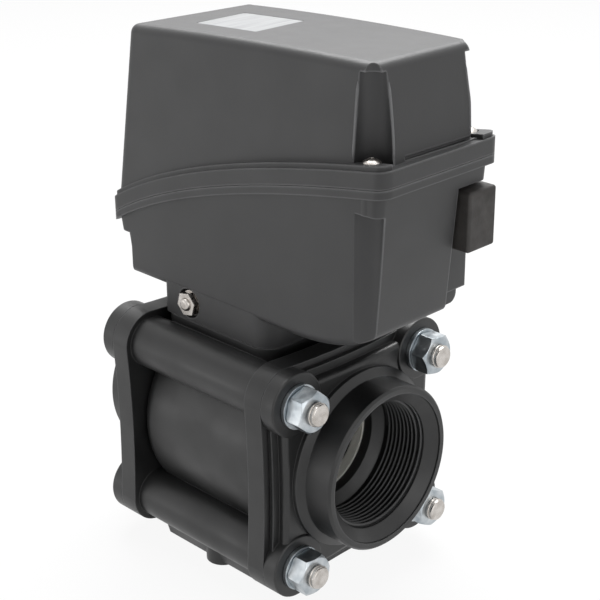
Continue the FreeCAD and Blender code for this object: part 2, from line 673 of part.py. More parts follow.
def clamp_washer():
    low = -NECK_Y / 2 + CLAMP_RECESS - CLAMP_WASHER_T - SEAT_GAP
    disc = rod_y(CLAMP_WASHER_R, low, low + CLAMP_WASHER_T, TONGUE_X, CLAMP_Z)
    return disc.cut(rod_y(CLAMP_R + RUN, low, low + CLAMP_WASHER_T, TONGUE_X, CLAMP_Z))


def clamp_nut():
    high = -NECK_Y / 2 + CLAMP_RECESS - CLAMP_WASHER_T - 2 * SEAT_GAP
    low = high - CLAMP_NUT_T
    nut = hexagon_y(CLAMP_NUT_AF, low, high, TONGUE_X, CLAMP_Z, 12.0)
    return nut.cut(rod_y(CLAMP_R + RUN, low, high, TONGUE_X, CLAMP_Z))


# ---- actuator housing ----------------------------------------------------------------------------
def split_edges(lift, y):
    """Edges of the parting line from inlet end to outlet end, lifted by a height."""
    left, right, pole = (V(x, y, z + lift) for x, z in SPLIT_ENDS + (SPLIT_POLE,))
    curve = Part.BezierCurve()
    curve.setPoles([left, pole, right])
    before, after = left + V(-20, 0, 0), right + V(20, 0, 0)
    edges = [Part.makeLine(before, left), curve.toShape(), Part.makeLine(right, after)]
    return edges, before, after


def split_side(lift, level):
    """Everything between the parting line, lifted by a height, and a level plane."""
    y = -HOUSING_Y
    edges, before, after = split_edges(lift, y)
    low_before, low_after = V(before.x, y, level), V(after.x, y, level)
    corners = (after, low_after, low_before, before)
    edges += [Part.makeLine(start, end) for start, end in zip(corners, corners[1:])]
    return Part.Face(Part.Wire(edges)).extrude(V(0, 2 * HOUSING_Y, 0))


def between(lift_low, lift_high):
    return split_side(lift_high, 0).cut(split_side(lift_low, 0))


def rim(inset, lift_low, lift_high):
    """Flange band that follows the parting line round the housing."""
    half = HOUSING_Y / 2 - inset
    x = (HOUSING_X0 + inset, HOUSING_X1 - inset)
    block = rounded_block(x, (-half, half), (0, COVER_TOP), RIM_R - inset)
    return block.common(between(lift_low, lift_high))


def base_form(inset):
    """Closed form of the base, inset from its outside, running up past the parting line."""
    y, top = -HOUSING_Y, COVER_TOP
    low, rise_z = BASE_Z + inset, BASE_RISE_Z + inset
    (x0, lean0), (x1, lean1) = BASE_X0, BASE_X1
    x0, x1 = x0 + inset, x1 - inset
    rise = Part.BezierCurve()
    rise.setPoles([V(BASE_RISE_X, y, low), V(BASE_RISE_X + BASE_RISE_RUN, y, low), V(x1, y, rise_z)])
    top0, top1 = V(x0 - lean0 * (top - low), y, top), V(x1 + lean1 * (top - rise_z), y, top)
    corner0, corner1 = V(x0, y, low), V(x1, y, rise_z)
    edges = [
        Part.makeLine(corner0, V(BASE_RISE_X, y, low)), rise.toShape(), Part.makeLine(corner1, top1),
        Part.makeLine(top1, top0), Part.makeLine(top0, corner0),
    ]
    side = Part.Face(Part.Wire(edges)).extrude(V(0, 2 * HOUSING_Y, 0))

    def is_low_corner(b):
        return b.YLength > HOUSING_Y and b.ZMax < rise_z + 0.1 and (b.XMax < x0 + 0.1 or b.XMin > x1 - 0.1)

    side = rounded_edges(side, BASE_ROUND - inset / 2, is_low_corner)
    half = BASE_HALF - inset
    form = side.common(box((-FAR, FAR), (-half, half), (0, FAR)))
    return rounded_edges(form, BASE_CORNER_R - inset / 2, lambda b: b.YLength < half and b.ZMin < top - 1)


def floor_at(x):
    """Height of the tub's inside floor at a place along X."""
    if x <= BASE_RISE_X:
        return FLOOR
    x0, x1, x2 = BASE_RISE_X, BASE_RISE_X + BASE_RISE_RUN, BASE_X1[0] - WALL
    a, b = x0 - 2 * x1 + x2, 2 * (x1 - x0)
    t = (-b + math.sqrt(b * b - 4 * a * (x0 - x))) / (2 * a)
    return FLOOR + t * t * (BASE_RISE_Z - BASE_Z)


def screw_places():
    return [(x, sy * y, sy) for x, y in SCREWS for sy in (-1, 1)]


def outward(x):
    return -1 if x < 0 else 1


def scallops(grow):
    """Hollows in the base corners under the screw bosses; the connector notch takes the fourth."""
    cuts = []
    for x, y, sy in screw_places()[:-1]:
        cx, cy = x + outward(x) * SCALLOP_X, sy * SCALLOP_Y
        cuts.append(rod_z(SCALLOP_R + grow, 0, split_height(x) - SCREW_BOSS + 2 * grow, cx, cy))
    return cuts


def split_height(x):
    """Height of the parting line at a place along X."""
    (x0, z0), (x1, z1) = SPLIT_ENDS
    a = x0 - 2 * SPLIT_POLE[0] + x1
    b = 2 * (SPLIT_POLE[0] - x0)
    t = (-b + math.sqrt(b * b - 4 * a * (x0 - x))) / (2 * a)
    return (1 - t) ** 2 * z0 + 2 * t * (1 - t) * SPLIT_POLE[1] + t * t * z1


def neck():
    """Cored block under the base that seats on the valve."""
    x, y = NECK_X, (-NECK_Y / 2, NECK_Y / 2)
    low = NECK_TOP + SEAT_GAP
    block = neck_block(x, 0, (low, FLOOR))
    core = neck_block(x, NECK_WALL, (low + NECK_FLOOR, FLOOR + 1))
    keep = [rod_z(NECK_BOSS_R, low, FLOOR)]
    keep.append(box((x[0], TONGUE_X + TONGUE_LENGTH / 2 + NECK_WALL), y, (low, FLOOR)))
    rib_y, rib_t = NECK_RIBS
    keep += [box((0, x[1]), grown((sy * rib_y, sy * rib_y), rib_t / 2), (low, FLOOR)) for sy in (-1, 1)]
    return block.cut(core.cut(Part.makeCompound(keep)))


def neck_cuts():
    """What the neck leaves room for: spigot, bush, tongue, and the clamp bolt with its two recesses."""
    half_l, half_w = TONGUE_LENGTH / 2 + SEAT_GAP, TONGUE_WIDTH / 2 + SEAT_GAP
    tongue_x = grown((TONGUE_X, TONGUE_X), half_l)
    tongue_z = (NECK_TOP, NECK_TOP + TONGUE_HEIGHT + SEAT_GAP)
    side = NECK_Y / 2
    return [
        rod_z(SPIGOT_R + SEAT_GAP, NECK_TOP, NECK_TOP + SPIGOT_HEIGHT + SEAT_GAP),
        rod_z(BUSH_R + SEAT_GAP, NECK_TOP, FLOOR + 1),
        rounded_block(tongue_x, (-half_w, half_w), tongue_z, TONGUE_R),
        rod_y(CLAMP_R + FREE, -side - 1, side + 1, TONGUE_X, CLAMP_Z),
        rod_y(CLAMP_RECESS_R, -FAR, -side + CLAMP_RECESS, TONGUE_X, CLAMP_Z),
        rod_y(CLAMP_RECESS_R, side - CLAMP_RECESS, FAR, TONGUE_X, CLAMP_Z),
    ]


def notch(grow):
    """Corner left out of the base for the connector, open downwards."""
    x, y = NOTCH_X - grow, (NOTCH_Y - grow, HOUSING_Y)
    foot, roof = NOTCH_Z
    return [box((x, FAR), y, (0, roof + grow)), box((x - NOTCH_STEP, FAR), y, (0, foot + grow))]


def actuator_base():
    """Lower half of the housing: curved tub, flange along the parting line, neck, screw bosses."""
    tub = base_form(0).common(split_side(0, 0)).cut(Part.makeCompound(scallops(0)))
    tub = tub.cut(Part.makeCompound(notch(0)))
    bosses = []
    for x, y, _ in screw_places():
        high = split_height(x)
        bosses.append(rod_z(SCREW_BOSS_R, high - SCREW_BOSS, high, x, y))
    bosses = Part.makeCompound(bosses).common(split_side(0, 0))
    cavity = base_form(WALL).cut(Part.makeCompound(scallops(WALL)))
    cavity = cavity.cut(Part.makeCompound(notch(WALL)))
    shell = tub.fuse(rim(0, -BASE_RIM, 0)).cut(cavity)
    shell = fused([shell] + bosses.Solids + [neck()])
    sunk = WALL / 2
    stands = [
        rod_z(POST_R + POST_WALL, floor_at(x) - sunk, floor_at(x) + POST_SOCKET, x, y) for x, y in POSTS
    ]
    for stage in (0, 1):
        stands.append(rod_z(AXLE_R + AXLE_WALL, FLOOR - sunk, axle_seat(stage), AXLES[stage + 1]))
    shell = shell.multiFuse(stands).removeSplitter()
    cuts = neck_cuts()
    for x, y, _ in screw_places():
        cuts.append(rod_z(SCREW_R + RUN, split_height(x) - SCREW_BOSS + 2, FAR, x, y))
    cuts += [rod_z(POST_R + RUN, floor_at(x) + 1, FAR, x, y) for x, y in POSTS]
    cuts += [rod_z(AXLE_R + RUN, axle_seat(stage) - AXLE_DEPTH, FAR, AXLES[stage + 1]) for stage in (0, 1)]
    socket = grown(SOCKET_Y, SEAT_GAP), grown(SOCKET_Z, SEAT_GAP)
    cuts.append(box((NOTCH_X - WALL - 1, NOTCH_X + 1), *socket))
    return shell.cut(Part.makeCompound(cuts)).cut(gasket_room())


def gasket_ring(inset, width, lift_low, lift_high):
    return rim(inset, lift_low, lift_high).cut(rim(inset + width, lift_low - 1, lift_high + 1))


def gasket_room():
    return gasket_ring(GASKET_IN - SEAT_GAP, GASKET_W + 2 * SEAT_GAP, -GASKET_T - SEAT_GAP, 1)


def under_crown(lift):
    """Everything under the crowned top of the cover, lifted by a height."""
    y = -HOUSING_Y
    left, middle, right = (V(x, y, z + lift) for x, z in CROWN)
    return prism([left, (middle, right), V(right.x, y, 0), V(left.x, y, 0)], V(0, 2 * HOUSING_Y, 0))


def rounded_quad(corners, radius, z):
    """Closed wire in plan through four corners, each rounded off."""
    points = [V(x, y, z) for x, y in corners]
    rounds = []
    for index, corner in enumerate(points):
        before = (points[index - 1] - corner).normalize()
        after = (points[(index + 1) % 4] - corner).normalize()
        half = before.getAngle(after) / 2
        inward = (before + after).normalize()
        centre = corner + inward * (radius / math.sin(half))
        reach = radius / math.tan(half)
        rounds.append((corner + before * reach, centre - inward * radius, corner + after * reach))
    edges = []
    for index, (first, middle, last) in enumerate(rounds):
        edges.append(Part.Arc(first, middle, last).toShape())
        edges.append(Part.makeLine(last, rounds[(index + 1) % 4][0]))
    return Part.Wire(edges)


def cover_form(inset):
    """Tapered and crowned box of the cover, inset from its outside."""
    wires = []
    for corners, z in ((COVER_PLAN_LOW, COVER_LOW), (COVER_PLAN_TOP, COVER_TOP)):
        moved = [(x - math.copysign(inset, x), y - math.copysign(inset, y)) for x, y in corners]
        wires.append(rounded_quad(moved, COVER_CORNER_R - inset / 2, z))
    form = Part.makeLoft(wires, True, True).common(under_crown(-inset))
    return rounded_edges(form, COVER_ROUND - inset, lambda b: b.ZMin > COVER_EDGE - inset)


def channels(grow):
    """Openings in the cover corners through which the cover screws are driven."""
    cuts = []
    for x, y, sy in screw_places():
        if x < 0:
            half = SLOT_HALF + grow
            cuts.append(rounded_block((x - FAR, x + half), (y - half, y + half), (0, FAR), half - 0.1))
        else:
            low, high = split_height(x), COVER_TOP - CHANNEL_ROOF
            wide, narrow = (radius + grow for radius in CHANNEL_R)
            cuts.append(Part.makeCone(wide, narrow, high + grow - low, V(x, y, low)))
            cuts.append(rod_z(wide, 0, low, x, y))
    return cuts


def end_panel():
    """Shallow groove in the outlet end wall, under and beside the plain panel between the channels."""
    lean = (COVER_X1[0] - COVER_X1[1]) / (COVER_TOP - COVER_LOW)

    def wall_x(z):
        return COVER_X1[0] - lean * (z - COVER_LOW)

    low = split_height(HOUSING_X1) + COVER_RIM
    edge, high = low + PANEL_GROOVE, COVER_TOP + 1
    (inner_low, inner_high), (outer_low, outer_high) = PANEL_SIDE
    outline = [
        (-HALF_Y / 2, low), (outer_low, low), (outer_high, high), (inner_high, high), (inner_low, edge),
        (-HALF_Y / 2, edge),
    ]
    return prism([V(wall_x(z) - PANEL_DEPTH, y, z) for y, z in outline], V(12, 0, 0))


def actuator_cover():
    """Upper half of the housing: tapered shell with corner channels and a stepped flange."""
    step = COVER_RIM + COVER_STEP
    shell = cover_form(0).cut(Part.makeCompound(channels(0))).cut(end_panel())
    inner = cover_form(WALL).cut(Part.makeCompound(channels(WALL)))
    upper = rim(STEP_IN, SEAM, step).cut(box((0, FAR), (-SCREWS[1][1], PANEL_SIDE[1][0]), (0, FAR)))
    band = rim(0, SEAM, COVER_RIM).fuse(upper)
    opening = rim(WALL + 1.6, -1, step - WALL + 1).cut(Part.makeCompound(channels(WALL)))
    pillars = [rod_z(SCREW_BOSS_R + 0.6, 0, COVER_TOP, x, y) for x, y, _ in screw_places()]
    shell = shell.cut(split_side(SEAM, 0)).fuse(band)
    shell = shell.cut(inner).cut(opening.cut(Part.makeCompound(pillars))).removeSplitter()
    cuts = []
    for x, y, _ in screw_places():
        cuts.append(rod_z(SCREW_R + FREE, 0, FAR, x, y))
        cuts.append(rod_z(SCREW_HEAD_R + 2 * FREE, screw_seat(x), FAR, x, y))
    plate_room = box(PLATE_X, PLATE_Y, (COVER_EDGE, FAR)).cut(under_crown(-PLATE_T))
    return shell.cut(Part.makeCompound(cuts)).cut(plate_room)


def screw_seat(x):
    return split_height(x) + COVER_RIM + COVER_STEP - SCREW_SINK


def cover_gasket():
    return gasket_ring(GASKET_IN, GASKET_W, -GASKET_T, GASKET_OUT)


def cover_screws():
    """Pan-head screws that hold the cover down on the base, each with a small centre recess."""
    screws = []
    for x, y, _ in screw_places():
        seat = screw_seat(x)
        top, dome_r = seat + SCREW_HEAD_T, 1.35 * SCREW_HEAD_R
        dome = Part.makeSphere(dome_r, V(x, y, top - dome_r))
        head = rod_z(SCREW_HEAD_R, seat, top, x, y).common(dome)
        shank = rod_z(SCREW_R, seat - SCREW_LENGTH, seat + 0.5, x, y)
        recess = rod_z(SCREW_RECESS_R, seat + 1.0, top, x, y)
        screws.append(head.fuse(shank).cut(recess).removeSplitter())
    return Part.makeCompound(screws)


def nameplate():
    """Blank plate that follows the cover's crown in a shallow recess."""
    z = (COVER_EDGE, FAR)
    plate = rounded_block(grown(PLATE_X, -PLATE_GAP), grown(PLATE_Y, -PLATE_GAP), z, PLATE_R)
    return plate.common(under_crown(-PLATE_GAP)).cut(under_crown(PLATE_GAP / 2 - PLATE_T))


# ---- connector -----------------------------------------------------------------------------------
def connector_socket():
    """Rectangular shroud on the notch wall, closed at the back, with a flange inside the wall."""
    x0, x1 = NOTCH_X - WALL - SEAT_GAP, NOTCH_X + SOCKET_LENGTH
    shroud = box((x0, x1), SOCKET_Y, SOCKET_Z)
    flange_y = (SOCKET_Y[0] - SOCKET_FLANGE, SOCKET_Y[1] + 0.6)
    flange = box((x0 - SOCKET_FLANGE, x0), flange_y, grown(SOCKET_Z, SOCKET_FLANGE))
    hollow = box((NOTCH_X, x1 + 1), grown(SOCKET_Y, -SOCKET_WALL), grown(SOCKET_Z, -SOCKET_WALL))
    holes = [rod_x(PIN_R + RUN, x0 - 2, NOTCH_X + 1, y, z) for y, z in pin_places()]
    return shroud.fuse(flange).cut(hollow).cut(Part.makeCompound(holes)).removeSplitter()


def pin_places():
    y, z = sum(SOCKET_Y) / 2, sum(SOCKET_Z) / 2
    return [(y, z + k * PIN_PITCH) for k in (-1, 0, 1)]


def connector_pins():
    x0 = NOTCH_X - WALL - PIN_TAIL
    pins = [rod_x(PIN_R, x0, NOTCH_X + PIN_LENGTH, y, z) for y, z in pin_places()]
    return Part.makeCompound(pins)


def connector_cap():
    """Rubber cap over the socket."""
    block = box(CAP_X, CAP_Y, CAP_Z)
    block = rounded_edges(block, CAP_EDGE, lambda b: b.XMin > CAP_X[1] - 0.01 or b.XLength > 5)
    room = box((CAP_X[0] - 1, NOTCH_X + SOCKET_LENGTH + FREE), grown(SOCKET_Y, FREE), grown(SOCKET_Z, FREE))
    return block.cut(room)


# ---- gear train ----------------------------------------------------------------------------------
def involute(angle):
    return math.tan(angle) - angle


def flank(teeth, module, radius):
    """Half the angle of a tooth at a radius."""
    pitch = teeth * module / 2
    at = math.acos(min(1.0, pitch * math.cos(PRESSURE) / radius))
    return math.pi / (2 * teeth) - BACKLASH / (2 * pitch) + involute(PRESSURE) - involute(at)


def gear_blank(teeth, module, z, x, first):
    """Spur gear with involute teeth; the first tooth points along the angle given."""
    pitch = teeth * module / 2
    root, tip = pitch - 1.25 * module, pitch + module
    start = max(root, pitch * math.cos(PRESSURE)) + 0.001
    radii = [start, (start + tip) / 2, tip]
    points = []
    for k in range(teeth):
        middle = first + 2 * math.pi * k / teeth
        foot_angle = flank(teeth, module, start)
        tooth = [(root, -foot_angle)] + [(r, -flank(teeth, module, r)) for r in radii]
        tooth += [(r, -a) for r, a in reversed(tooth)]
        points += [V(x + r * math.cos(middle + a), r * math.sin(middle + a), z[0]) for r, a in tooth]
    return prism(points, V(0, 0, z[1] - z[0]))


def pinion_first(teeth):
    """Angle of the first tooth that puts a gap opposite the wheel's tooth on the +X side."""
    return math.pi + math.pi / teeth


def wheel(stage, bore):
    """Wheel of a stage, thinner between its rim and its hub."""
    module, teeth, _, z, _ = STAGES[stage]
    x = AXLES[stage]
    blank = gear_blank(teeth, module, z, x, 0.0)
    rim_r = teeth * module / 2 - WHEEL_RIM * module
    hub_r = bore + HUB_WALL
    deep = (z[1] - z[0]) * (1 - WHEEL_WEB) / 2
    for low, high in ((z[0] - 1, z[0] + deep), (z[1] - deep, z[1] + 1)):
        blank = blank.cut(rod_z(rim_r, low, high, x).cut(rod_z(hub_r, low, high, x)))
    return blank


def output_gear():
    gear = wheel(0, SHAFT_SEAT_R)
    return gear.cut(rod_z(SHAFT_SEAT_R + RUN, 0, FAR))


def compound_gear(stage):
    """Pinion of one stage moulded to the wheel of the next."""
    module, _, teeth, _, z = STAGES[stage]
    x = AXLES[stage + 1]
    pinion = gear_blank(teeth, module, z, x, pinion_first(teeth))
    return wheel(stage + 1, AXLE_R).fuse(pinion).cut(rod_z(AXLE_R + RUN, 0, FAR, x))


def axle_seat(stage):
    """Top of the boss under a compound gear."""
    return STAGES[stage][4][0] - FREE


def axle(stage):
    low = axle_seat(stage) - AXLE_DEPTH + RUN
    return rod_z(AXLE_R, low, PLATE_TOP, AXLES[stage + 1])


def motor_pinion():
    module, _, teeth, _, z = STAGES[2]
    x = AXLES[3]
    return gear_blank(teeth, module, z, x, pinion_first(teeth)).cut(rod_z(MOTOR_SHAFT_R + 0.01, 0, FAR, x))


def output_shaft():
    """Hollow drive shaft: square socket for the stem, journal, gear seat and top journal."""
    top = PLATE_TOP + MAGNET_T + 1
    shoulder = STAGES[0][3][0] - 0.4
    body = turned_z([
        (0, SHAFT_LOW), (SHAFT_R, SHAFT_LOW), (SHAFT_R, shoulder), (SHAFT_SEAT_R, shoulder),
        (SHAFT_SEAT_R, PLATE_Z - 1), (SHAFT_TOP_R, PLATE_Z - 1), (SHAFT_TOP_R, top), (0, top),
    ])
    half = STEM_SQUARE / 2 + RUN
    socket = box((-half, half), (-half, half), (SHAFT_LOW - 1, STEM_TOP + FREE))
    return body.cut(socket.common(rod_z(DRIVE_R + RUN, 0, FAR)))


def output_bush():
    low = SHAFT_LOW + 1
    return turned_z([
        (SHAFT_R + RUN, low), (BUSH_R, low), (BUSH_R, FLOOR + SEAT_GAP), (BUSH_FLANGE_R, FLOOR + SEAT_GAP),
        (BUSH_FLANGE_R, FLOOR + BUSH_FLANGE_T), (SHAFT_R + RUN, FLOOR + BUSH_FLANGE_T),
    ])


def magnet():
    low = PLATE_TOP + FREE
    return rod_z(MAGNET_R, low, low + MAGNET_T).cut(rod_z(SHAFT_TOP_R + RUN, low, low + MAGNET_T))


def gear_plate():
    """Steel plate that carries the top ends of the shafts and the motor."""
    half = GEAR_PLATE_Y / 2
    plate = rounded_block(GEAR_PLATE_X, (-half, half), (PLATE_Z, PLATE_TOP), GEAR_PLATE_R)
    bores = (SHAFT_TOP_R, AXLE_R, AXLE_R, MOTOR_PILOT_R)
    holes = [rod_z(bore + RUN, 0, FAR, x) for bore, x in zip(bores, AXLES)]
    holes += [rod_z(POST_SCREW_R + RUN, 0, FAR, x, y) for x, y in POSTS + BOARD_POSTS]
    return plate.cut(Part.makeCompound(holes))


def plate_posts():
    posts = []
    for x, y in POSTS:
        post = rod_z(POST_R, floor_at(x) + 1 + RUN, PLATE_Z, x, y)
        posts.append(post.cut(rod_z(POST_SCREW_R, PLATE_Z - POST_SCREW_DEPTH, PLATE_Z, x, y)))
    return Part.makeCompound(posts)


def plate_screws():
    screws = []
    for x, y in POSTS:
        shank = rod_z(POST_SCREW_R - RUN, PLATE_TOP - POST_SCREW_DEPTH, PLATE_TOP + 1, x, y)
        head = rod_z(POST_SCREW_HEAD_R, PLATE_TOP, PLATE_TOP + POST_SCREW_HEAD_T, x, y)
        screws.append(shank.fuse(head).removeSplitter())
    return Part.makeCompound(screws)


def motor_can():
    top, x = PLATE_TOP + MOTOR_LENGTH, AXLES[3]
    can = rod_z(MOTOR_R, PLATE_TOP, top, x)
    can = rounded_edges(can, 2.5, lambda b: b.ZMin > top - 0.01)
    pilot = rod_z(MOTOR_PILOT_R, PLATE_TOP - MOTOR_PILOT, PLATE_TOP, x)
    return can.fuse(pilot).cut(rod_z(MOTOR_SHAFT_R + RUN, 0, PLATE_TOP + 6, x))


def motor_shaft():
    return rod_z(MOTOR_SHAFT_R, STAGES[2][4][0] - 0.5, PLATE_TOP + 5, AXLES[3])


def board_posts():
    posts = []
    for x, y in BOARD_POSTS:
        stud = rod_z(POST_SCREW_R - RUN, PLATE_Z + 0.5, PLATE_TOP + 1, x, y)
        posts.append(rod_z(BOARD_POST_R, PLATE_TOP, BOARD_Z, x, y).fuse(stud).removeSplitter())
    return Part.makeCompound(posts)


def circuit_board():
    half = BOARD_Y / 2
    return rounded_block(BOARD_X, (-half, half), (BOARD_Z, BOARD_Z + BOARD_T), BOARD_R)


def relays():
    low = BOARD_Z + BOARD_T
    length, width, height = RELAY
    y = (-10.0, width - 10.0)
    return Part.makeCompound([box((x, x + length), y, (low, low + height)) for x in RELAY_X])


def terminal_block():
    low = BOARD_Z + BOARD_T
    length, width, height = TERMINAL_BLOCK
    x1, y0 = BOARD_X[1] - 4.0, 8.0
    block = box((x1 - length, x1), (y0, y0 + width), (low, low + height))
    first = x1 - length / 2 - TERMINAL_PITCH * (TERMINALS - 1) / 2
    places = [first + TERMINAL_PITCH * k for k in range(TERMINALS)]
    screws = [rod_z(1.7, low + 0.6 * height, low + height + 1, x, y0 + width / 2) for x in places]
    return block.cut(Part.makeCompound(screws))


def sensor():
    length, width, height = SENSOR
    return box((-length / 2, length / 2), (-width / 2, width / 2), (BOARD_Z - height, BOARD_Z))


def build():
    mirror = (V(0, 0, 0), V(1, 0, 0))
    seat, seat_o, body_o = seat_ring(), seat_o_ring(), body_o_ring()
    pieces = {
        "valve_body": valve_body(),
        "mounting_inserts": mounting_inserts(),
        "end_cap_outlet": end_cap(),
        "end_cap_inlet": inlet_cap(),
        "seat_ring_outlet": seat,
        "seat_ring_inlet": seat.mirror(*mirror),
        "seat_o_ring_outlet": seat_o,
        "seat_o_ring_inlet": seat_o.mirror(*mirror),
        "body_o_ring_outlet": body_o,
        "body_o_ring_inlet": body_o.mirror(*mirror),
        "ball": ball(),
        "stem": stem(),
        "stem_o_ring_lower": stem_o_ring(STEM_RING_Z[0]),
        "stem_o_ring_upper": stem_o_ring(STEM_RING_Z[1]),
        "stem_thrust_washer": thrust_washer(),
        "body_bolts": body_bolts(),
        "body_washers": body_washers(),
        "body_nuts": body_nuts(),
        "clamp_bolt": clamp_bolt(),
        "clamp_washer": clamp_washer(),
        "clamp_nut": clamp_nut(),
        "actuator_base": actuator_base(),
        "actuator_cover": actuator_cover(),
        "cover_gasket": cover_gasket(),
        "cover_screws": cover_screws(),
        "nameplate": nameplate(),
        "connector_socket": connector_socket(),
        "connector_pins": connector_pins(),
        "connector_cap": connector_cap(),
        "output_shaft": output_shaft(),
        "output_bush": output_bush(),
        "output_gear": output_gear(),
        "compound_gear_large": compound_gear(0),
        "compound_gear_small": compound_gear(1),
        "axle_large": axle(0),
        "axle_small": axle(1),
        "motor_pinion": motor_pinion(),
        "motor_shaft": motor_shaft(),
        "motor_can": motor_can(),
        "gear_plate": gear_plate(),
        "plate_posts": plate_posts(),
        "plate_screws": plate_screws(),
        "position_magnet": magnet(),
        "position_sensor": sensor(),
        "circuit_board": circuit_board(),
        "board_posts": board_posts(),
        "relays": relays(),
        "terminal_block": terminal_block(),
    }
    os.makedirs("parts", exist_ok=True)
    for name, shape in pieces.items():
        save(shape, name)


build()
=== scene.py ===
import json
import math

import bpy
from mathutils import Matrix, Vector


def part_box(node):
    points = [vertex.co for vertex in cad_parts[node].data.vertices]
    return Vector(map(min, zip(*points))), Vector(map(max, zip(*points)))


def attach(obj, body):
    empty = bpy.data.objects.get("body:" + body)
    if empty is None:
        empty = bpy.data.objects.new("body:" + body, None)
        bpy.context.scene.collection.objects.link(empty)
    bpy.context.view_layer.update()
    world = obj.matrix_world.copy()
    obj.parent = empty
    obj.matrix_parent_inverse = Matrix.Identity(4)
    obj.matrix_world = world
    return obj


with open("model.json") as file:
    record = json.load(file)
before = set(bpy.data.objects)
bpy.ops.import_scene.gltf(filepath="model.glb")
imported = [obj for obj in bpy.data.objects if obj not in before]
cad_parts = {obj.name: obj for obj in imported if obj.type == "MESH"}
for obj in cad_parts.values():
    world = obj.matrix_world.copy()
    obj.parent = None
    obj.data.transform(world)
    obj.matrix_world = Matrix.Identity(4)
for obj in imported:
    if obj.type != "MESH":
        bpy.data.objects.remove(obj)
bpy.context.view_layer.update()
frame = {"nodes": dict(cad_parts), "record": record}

MM = 0.001
MAIN = "valve_and_housing"
PORT = next(m for m in frame["record"]["mounts"] if m["name"] == "port_outlet")
AXIS = PORT["pos_m"][2]     # height of the flow axis
FILL = 0.17                 # strength of the world where it isn't seen directly
FLOOR_GLOW = 0.92           # share of plain white in the floor where it is seen directly
NOISE_LOW = 0.35            # noise at or below this gives the first value of a spread
NOISE_HIGH = 0.65           # noise at or above this gives the second


# ---- camera --------------------------------------------------------------------------------------
def camera():
    """Three-quarter view from the outlet side, a little above."""
    azimuth, elevation, roll = math.radians(44.83), math.radians(22.873), math.radians(-0.374)
    distance, aim_across, aim_up = 0.690232, 0.012897, 0.054411
    back = Vector((math.sin(azimuth) * math.cos(elevation), -math.cos(azimuth) * math.cos(elevation),
                   math.sin(elevation)))
    level = Vector((math.cos(azimuth), math.sin(azimuth), 0.0))
    upward = back.cross(level)
    right = math.cos(roll) * level + math.sin(roll) * upward
    up = math.cos(roll) * upward - math.sin(roll) * level
    data = bpy.data.cameras.new("view_camera")
    data.sensor_width = 36.0
    data.lens = 87.89
    data.clip_start = 0.01
    rig = bpy.data.objects.new("view_camera", data)
    bpy.context.collection.objects.link(rig)
    turn = Matrix((right, up, back)).transposed().to_4x4()
    place = Vector((0, 0, AXIS)) + back * distance + right * aim_across + up * aim_up
    rig.matrix_world = Matrix.Translation(place) @ turn
    bpy.context.scene.camera = rig


# ---- light and stage -----------------------------------------------------------------------------
def soft_lamp(name, place, target, size, watts):
    data = bpy.data.lights.new(name, "AREA")
    data.shape = "RECTANGLE"
    data.size, data.size_y = size
    data.energy = watts
    lamp = bpy.data.objects.new(name, data)
    bpy.context.collection.objects.link(lamp)
    lamp.location = place
    aim = Vector(target) - Vector(place)
    lamp.rotation_euler = aim.to_track_quat("-Z", "Y").to_euler()


def seen_directly(tree):
    """One for rays from the camera, mirrors and glass, nothing for the soft light that fills the scene."""
    path = tree.nodes.new("ShaderNodeLightPath")
    seen = path.outputs["Is Camera Ray"]
    for other in ("Is Glossy Ray", "Is Transmission Ray"):
        larger = tree.nodes.new("ShaderNodeMath")
        larger.operation = "MAXIMUM"
        tree.links.new(seen, larger.inputs[0])
        tree.links.new(path.outputs[other], larger.inputs[1])
        seen = larger.outputs[0]
    return seen


def studio():
    target = (0.01, 0.0, 0.12)
    soft_lamp("overhead_soft", (-0.30, 0.40, 1.20), target, (1.1, 1.1), 30.0)
    soft_lamp("left_soft", (-0.95, -0.95, 0.35), target, (0.8, 0.9), 0.9)
    soft_lamp("low_left_soft", (-0.55, -0.85, 0.03), (0.0, 0.0, 0.0), (0.7, 0.04), 0.5)
    soft_lamp("right_soft", (1.15, -0.35, 0.55), target, (0.7, 1.0), 2.4)
    world = bpy.data.worlds.new("studio_world")
    bpy.context.scene.world = world
    world.use_nodes = True
    tree = world.node_tree
    tree.nodes.clear()
    seen = seen_directly(tree)
    dim = tree.nodes.new("ShaderNodeBackground")
    dim.inputs["Color"].default_value = (1, 1, 1, 1)
    dim.inputs["Strength"].default_value = FILL
    white = tree.nodes.new("ShaderNodeBackground")
    white.inputs["Color"].default_value = (1, 1, 1, 1)
    white.inputs["Strength"].default_value = 1.0
    mix = tree.nodes.new("ShaderNodeMixShader")
    out = tree.nodes.new("ShaderNodeOutputWorld")
    tree.links.new(seen, mix.inputs[0])
    tree.links.new(dim.outputs[0], mix.inputs[1])
    tree.links.new(white.outputs[0], mix.inputs[2])
    tree.links.new(mix.outputs[0], out.inputs[0])


